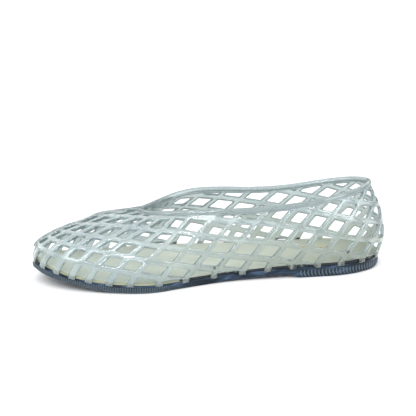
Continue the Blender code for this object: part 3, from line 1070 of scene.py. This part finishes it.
def net_sheet():
    """The net's outer faces with the wall's thickness at each point, and the collar's line as loose edges."""
    bm = bmesh.new()
    wall_layer = bm.verts.layers.float.new("wall")
    collar_layer = bm.verts.layers.float.new("collar")
    foot_layer = bm.verts.layers.float.new("foot")
    top_layer = bm.verts.layers.int.new("top")
    rim_layer = bm.edges.layers.float.new("rim")
    for polygon in net_polygons():
        for side in (0, 1):
            corners = []
            for around, rise in polygon:
                vert = bm.verts.new(wall_point(side, around, rise))
                low_share = share_of(FOOT_GRIME_RISE - rise, FOOT_GRIME_RISE)
                vert[foot_layer] = FOOT_GRIME_COVER * grimy(vert.co.x) * low_share
                vert[wall_layer] = TAB_WALL + (WALL - TAB_WALL) * share_of(rise, WALL_GROWTH)
                vert[top_layer] = int(inside_top(around, rise) < TOUCHING)
                corners.append(vert)
            bm.faces.new(corners if side == 0 else corners[::-1])
    bmesh.ops.remove_doubles(bm, verts=bm.verts, dist=CORNER_WELD)
    bmesh.ops.dissolve_degenerate(bm, edges=bm.edges, dist=SLIVER)
    bmesh.ops.delete(bm, geom=[v for v in bm.verts if not v.link_faces])
    bm.normal_update()
    if sum(f.normal.y for f in bm.faces if f.calc_center_median().y < INNER_SIDE_ACROSS) > 0:
        bmesh.ops.reverse_faces(bm, faces=bm.faces)
    for edge in bm.edges:
        edge[rim_layer] = float(edge.is_boundary and edge.verts[0][top_layer] and edge.verts[1][top_layer])
    loop = [bm.verts.new(point) for point in collar_path()]
    for first, second in zip(loop, loop[1:] + loop[:1]):
        bm.edges.new((first, second))
    for vert in loop:
        vert[collar_layer] = 1.0
    for vert in bm.verts:
        vert.co = Vector(in_frame(vert.co))
        vert[wall_layer] *= MM
    mesh = bpy.data.meshes.new("upper_net")
    bm.to_mesh(mesh)
    bm.free()
    return add_object("upper_net", mesh)


def scaled(tree, direction, scale):
    """A direction times a value."""
    inputs = {"Vector": direction, "Scale": scale}
    return add_node(tree, "ShaderNodeVectorMath", inputs, operation="SCALE").outputs["Vector"]


def on_domain(tree, value, domain):
    """A yes or no carried over to another part of the mesh."""
    node = add_node(tree, "GeometryNodeFieldOnDomain", {"Value": value}, data_type="BOOLEAN", domain=domain)
    return node.outputs["Value"]


net_tree, given, result = new_tree("moulded_net", ["Bevel", "Collar radius", "Collar step"])
parted = add_node(net_tree, "GeometryNodeSeparateGeometry", {
    "Geometry": given["Geometry"], "Selection": field(net_tree, "collar", "FLOAT")}, domain="POINT")

# Each point of the sheet keeps its outward direction, and whether it lies on the edge of a window.
normal = add_node(net_tree, "GeometryNodeInputNormal").outputs["Normal"]
faces_beside = add_node(net_tree, "GeometryNodeInputMeshEdgeNeighbors").outputs["Face Count"]
single = add_node(net_tree, "FunctionNodeCompare", {
    2: faces_beside, 3: 1}, data_type="INT", operation="EQUAL")
on_window = on_domain(net_tree, single.outputs["Result"], "EDGE")
sheet = stored(net_tree, parted.outputs["Inverted"], "outward", normal, "FLOAT_VECTOR")
sheet = stored(net_tree, sheet, "window", on_window, "FLOAT")

# The outer faces drop at the windows' edges, and the inner faces lie a wall's thickness inside.
outward = field(net_tree, "outward", "FLOAT_VECTOR")
drop = calc(net_tree, "MULTIPLY", given["Bevel"], field(net_tree, "window", "FLOAT"))
bevel_by = scaled(net_tree, outward, calc(net_tree, "MULTIPLY", drop, -1.0))
sink_by = scaled(net_tree, outward, calc(net_tree, "MULTIPLY", field(net_tree, "wall", "FLOAT"), -1.0))
outer = add_node(net_tree, "GeometryNodeSetPosition", {"Geometry": sheet, "Offset": bevel_by})
thicken = add_node(net_tree, "GeometryNodeExtrudeMesh", {
    "Mesh": sheet, "Offset Scale": 0.0, "Individual": False}, mode="FACES")
top_points = on_domain(net_tree, thicken.outputs["Top"], "POINT")
beside = add_node(net_tree, "FunctionNodeBooleanMath", {0: top_points}, operation="NOT")
sides = add_node(net_tree, "GeometryNodeSetPosition", {
    "Geometry": thicken.outputs["Mesh"], "Selection": beside.outputs["Boolean"], "Offset": bevel_by})
inner = add_node(net_tree, "GeometryNodeSetPosition", {
    "Geometry": sides.outputs["Geometry"], "Selection": top_points, "Offset": sink_by})
turn = add_node(net_tree, "GeometryNodeFlipFaces", {"Mesh": inner.outputs["Geometry"]})
both = add_node(net_tree, "GeometryNodeJoinGeometry", {
    "Geometry": [turn.outputs["Mesh"], outer.outputs["Geometry"]]})
weld = add_node(net_tree, "GeometryNodeMergeByDistance", {
    "Geometry": both.outputs["Geometry"], "Distance": FACE_WELD * MM})
soften = add_node(net_tree, "GeometryNodeSubdivisionSurface", {
    "Mesh": weld.outputs["Geometry"], "Level": 1, "Edge Crease": field(net_tree, "rim", "FLOAT")})

# The bead is swept along the collar's line and joined to the net.
circle = add_node(net_tree, "GeometryNodeCurvePrimitiveCircle", {
    "Resolution": 18, "Radius": given["Collar radius"]})
sweep = add_node(net_tree, "GeometryNodeCurveToMesh", {
    "Curve": steps_along(net_tree, parted.outputs["Selection"], given["Collar step"]),
    "Profile Curve": circle.outputs["Curve"],
})
union = add_node(net_tree, "GeometryNodeMeshBoolean", {
    "Mesh 2": [soften.outputs["Mesh"], sweep.outputs["Mesh"]]}, operation="UNION", solver="MANIFOLD")
finish_tree(net_tree, given, result, union.outputs["Mesh"])

clear_plastic, tree, shader, place = new_material("clear_plastic", {
    "IOR": 1.48,
    "Transmission Weight": 0.72,
    "Coat Weight": 0.6,
    "Coat Roughness": 0.02,
})
net_clouds = noise(tree, place, scale=45.0, detail=4.0)
# Low on the wall and towards the heel the net is painted darker and greener, standing in for the insole seen
# through it.
see_through_share = calc(
    tree, "MULTIPLY", share_along(tree, place, "X", *SEE_THROUGH_BACK), share_along(tree, place, "Z", *SEE_THROUGH_HEIGHT))
foot_grime = patches(tree, marked(tree, "foot"), noise(tree, place, scale=200.0, detail=4.0))
net_colour = ramp(tree, net_clouds, [(0.3, CLEAR_DARK), (0.7, CLEAR_LIGHT)])
net_colour = mixed(tree, see_through_share, net_colour, CLEAR_SEE_THROUGH_TINT)
# painted shade along the windows' edges and walls
net_colour = mixed(tree, marked(tree, "window"), net_colour, WINDOW_EDGE_SHADE)
# the collar bead is painted greyer, as painted shade
net_colour = mixed(tree, marked(tree, "collar"), net_colour, COLLAR_BEAD_SHADE)
net_colour = mixed(tree, spots(tree, place, STAIN_SPOTS), net_colour, STAIN)
net_colour = mixed(tree, spots(tree, place, DIRT_SPOTS), net_colour, GRIME)
net_colour = mixed(tree, foot_grime, net_colour, GRIME)
net_gloss = span(tree, noise(tree, place, scale=140.0, detail=3.0), low=0.05, high=0.18)
tree.links.new(net_colour, shader.inputs["Base Color"])
tree.links.new(net_gloss, shader.inputs["Roughness"])
bump(tree, noise(tree, place, scale=220.0, detail=2.0), shader, strength=0.15, depth=0.4)

upper = net_sheet()
run_tree(upper, net_tree, {
    "Bevel": RIB_BEVEL * MM,
    "Collar radius": COLLAR_BEAD_RADIUS * MM,
    "Collar step": COLLAR_BEAD_STEP * MM,
    "Material": clear_plastic,
})
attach(upper, "root")
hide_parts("upper")

# Studio: a plain white floor that reaches past the view, soft light from above and both sides, and three
# narrow strips in front, which draw short lines of gloss on the net. The camera has the photograph's angle,
# with the shoe's inner side and toe towards it. Places and sizes of floor and lights are in metres.
FLOOR_REACH = 40.0
FLOOR_LIGHT = (0.90, 0.90, 0.90, 1.0)
FLOOR_DARK = (0.86, 0.87, 0.87, 1.0)
WHITE = (1.0, 1.0, 1.0, 1.0)
WORLD_STRENGTH = 0.35
BELOW_PANEL = (0.0, 1.0, 0.0)
SHOE_MIDDLE = (0.0, 0.0, 0.03)
VAMP = (-0.04, 0.0, 0.03)
CAMERA_YAW = -9.34
CAMERA_ELEVATION = 15.53
CAMERA_DISTANCE = 630.0
CAMERA_LENS = 79.2
CAMERA_AIM = (117.7, 0.0, 44.6)

# name, place, target, width, height and watts of each light
LIGHTS = (
    ("ceiling_panel", (0.0, 1.0, 3.0), BELOW_PANEL, 12.0, 12.0, 520.0),
    ("toe_softbox", (-0.7, -0.5, 0.6), SHOE_MIDDLE, 0.35, 0.6, 2.5),
    ("front_strip", (-0.35, -1.0, 0.30), VAMP, 0.5, 0.07, 1.8),
    ("middle_strip", (-0.25, -0.80, 0.65), VAMP, 0.45, 0.06, 1.4),
    ("upper_strip", (-0.20, -0.55, 0.90), VAMP, 0.45, 0.06, 1.4),
    ("heel_softbox", (0.6, -0.7, 0.5), SHOE_MIDDLE, 0.35, 0.6, 2.5),
)

floor_paint, tree, shader, place = new_material("floor_paint", {"Roughness": 0.9, "Specular IOR Level": 0.1})
floor_clouds = noise(tree, place, scale=6.0, detail=2.0)
floor_colour = ramp(tree, floor_clouds, [(0.3, FLOOR_DARK), (0.7, FLOOR_LIGHT)])
tree.links.new(floor_colour, shader.inputs["Base Color"])
floor_corners = [(FLOOR_REACH * x, FLOOR_REACH * y, 0.0) for x, y in ((-1, -1), (1, -1), (1, 1), (-1, 1))]
floor_mesh = bpy.data.meshes.new("floor")
floor_mesh.from_pydata(floor_corners, [], [(0, 1, 2, 3)])
floor_mesh.materials.append(floor_paint)
floor = add_object("floor", floor_mesh)

world = bpy.data.worlds.new("studio")
world.use_nodes = True
background = world.node_tree.nodes["Background"]
background.inputs["Color"].default_value = WHITE
background.inputs["Strength"].default_value = WORLD_STRENGTH
bpy.context.scene.world = world
bpy.context.scene.view_settings.view_transform = "Standard"

for name, spot, target, width, height, watts in LIGHTS:
    light = bpy.data.lights.new(name, "AREA")
    light.shape = "RECTANGLE"
    light.size = width
    light.size_y = height
    light.energy = watts
    softbox = add_object(name, light)
    softbox.location = spot
    softbox.rotation_euler = (Vector(target) - Vector(spot)).to_track_quat("-Z", "Y").to_euler()

yaw = math.radians(CAMERA_YAW)
elevation = math.radians(CAMERA_ELEVATION)
backward = Vector((
    math.sin(yaw) * math.cos(elevation),
    -math.cos(yaw) * math.cos(elevation),
    math.sin(elevation),
))
camera_data = bpy.data.cameras.new("camera")
camera_data.lens = CAMERA_LENS
camera = add_object("camera", camera_data)
camera.location = Vector(in_frame(CAMERA_AIM)) + backward * CAMERA_DISTANCE * MM
camera.rotation_euler = (-backward).to_track_quat("-Z", "Y").to_euler()
bpy.context.scene.camera = camera
